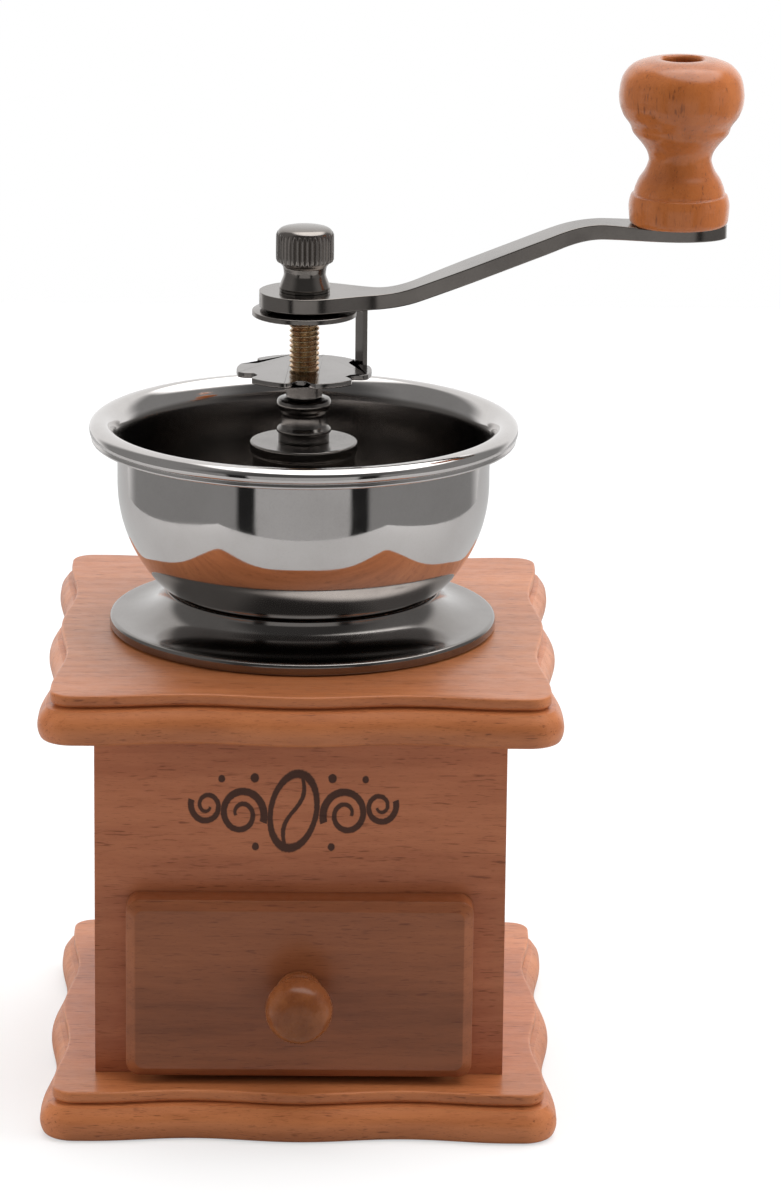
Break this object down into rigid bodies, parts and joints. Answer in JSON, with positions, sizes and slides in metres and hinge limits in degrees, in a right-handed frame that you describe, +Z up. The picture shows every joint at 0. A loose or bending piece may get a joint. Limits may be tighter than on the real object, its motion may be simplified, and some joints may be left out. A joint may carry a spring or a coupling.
{
  "type": "manual coffee grinder",
  "caption": "Hand-cranked box coffee mill: open metal bean bowl, conical burr mill and bent crank with a turned knob on a wooden case with moulded boards and a drawer.",
  "frame": {"origin": "middle of the base board's underside, where the mill rests", "axes": "+Z up along the mill's shaft, front with the drawer towards -Y, the crank arm points along +X at rest"},
  "size_m": [0.1614, 0.1394, 0.2432],
  "materials": {
    "case_wood": "beech with a clear orange-brown satin varnish",
    "turned_wood": "turned beech with a glossier clear varnish",
    "inner_wood": "bare smooth beech",
    "bright_metal": "dark polished nickel plate",
    "arm_metal": "dark satin nickel plate",
    "shaft_metal": "yellow plated thread",
    "burr_iron": "bare dark cast iron",
    "steel": "plain zinc plate"
  },
  "bodies": {
    "case": {"base_board": "case_wood", "top_board": "case_wood", "front_panel": "case_wood", "back_panel": "case_wood", "left_panel": "case_wood", "right_panel": "case_wood", "left_drawer_runner": "inner_wood", "right_drawer_runner": "inner_wood", "case_screw_1": "steel", "case_screw_2": "steel", "case_screw_3": "steel", "case_screw_4": "steel", "case_dowel_1": "inner_wood", "case_dowel_2": "inner_wood", "case_dowel_3": "inner_wood", "case_dowel_4": "inner_wood", "flange_ring": "bright_metal", "bean_bowl": "bright_metal", "bearing_bridge": "bright_metal", "guide_bush": "bright_metal", "burr_ring": "burr_iron", "clamp_screw_1": "steel", "clamp_screw_2": "steel", "clamp_screw_3": "steel", "clamp_nut_1": "steel", "clamp_nut_2": "steel", "clamp_nut_3": "steel"},
    "drawer": {"drawer_front": "case_wood", "drawer_left_side": "inner_wood", "drawer_right_side": "inner_wood", "drawer_back": "inner_wood", "drawer_bottom": "inner_wood", "drawer_knob": "turned_wood", "drawer_knob_screw": "steel"},
    "adjuster": {"adjusting_disc": "bright_metal", "burr_spring": "steel", "spring_washer": "steel"},
    "spindle": {"centre_shaft": "shaft_metal", "cone_burr": "burr_iron", "burr_washer": "steel", "burr_nut": "steel", "lock_plate": "arm_metal", "crank_arm": "arm_metal", "knob_pin": "steel"},
    "nut_lift": {"nut_washer": "arm_metal"},
    "nut": {"thumb_nut": "arm_metal"},
    "handle": {"crank_knob": "turned_wood"}
  },
  "joints": [
    {"name": "drawer_slide", "type": "slide", "parent": "case", "child": "drawer", "axis": [0, -1, 0], "range_m": [0, 0.07]},
    {"name": "crank_turn", "type": "hinge", "parent": "case", "child": "adjuster", "pos_m": [0, 0, 0.168], "axis": [0, 0, 1], "continuous": true},
    {"name": "grind_set", "type": "slide", "parent": "adjuster", "child": "spindle", "axis": [0, 0, 1], "range_m": [-0.0012, 0.0012], "deforming": ["burr_spring"]},
    {"name": "thumb_nut_lift", "type": "slide", "parent": "spindle", "child": "nut_lift", "axis": [0, 0, 1], "range_m": [0, 0.006]},
    {"name": "thumb_nut_turn", "type": "hinge", "parent": "nut_lift", "child": "nut", "pos_m": [0, 0, 0.195], "axis": [0, 0, 1], "range_deg": [0, 2160]},
    {"name": "knob_spin", "type": "hinge", "parent": "spindle", "child": "handle", "pos_m": [0.0869, 0, 0.22], "axis": [0, 0, 1], "continuous": true}
  ],
  "couplings": [
    {"joint": "thumb_nut_lift", "follows": "thumb_nut_turn", "m_per_rad": 0.00015915}
  ]
}
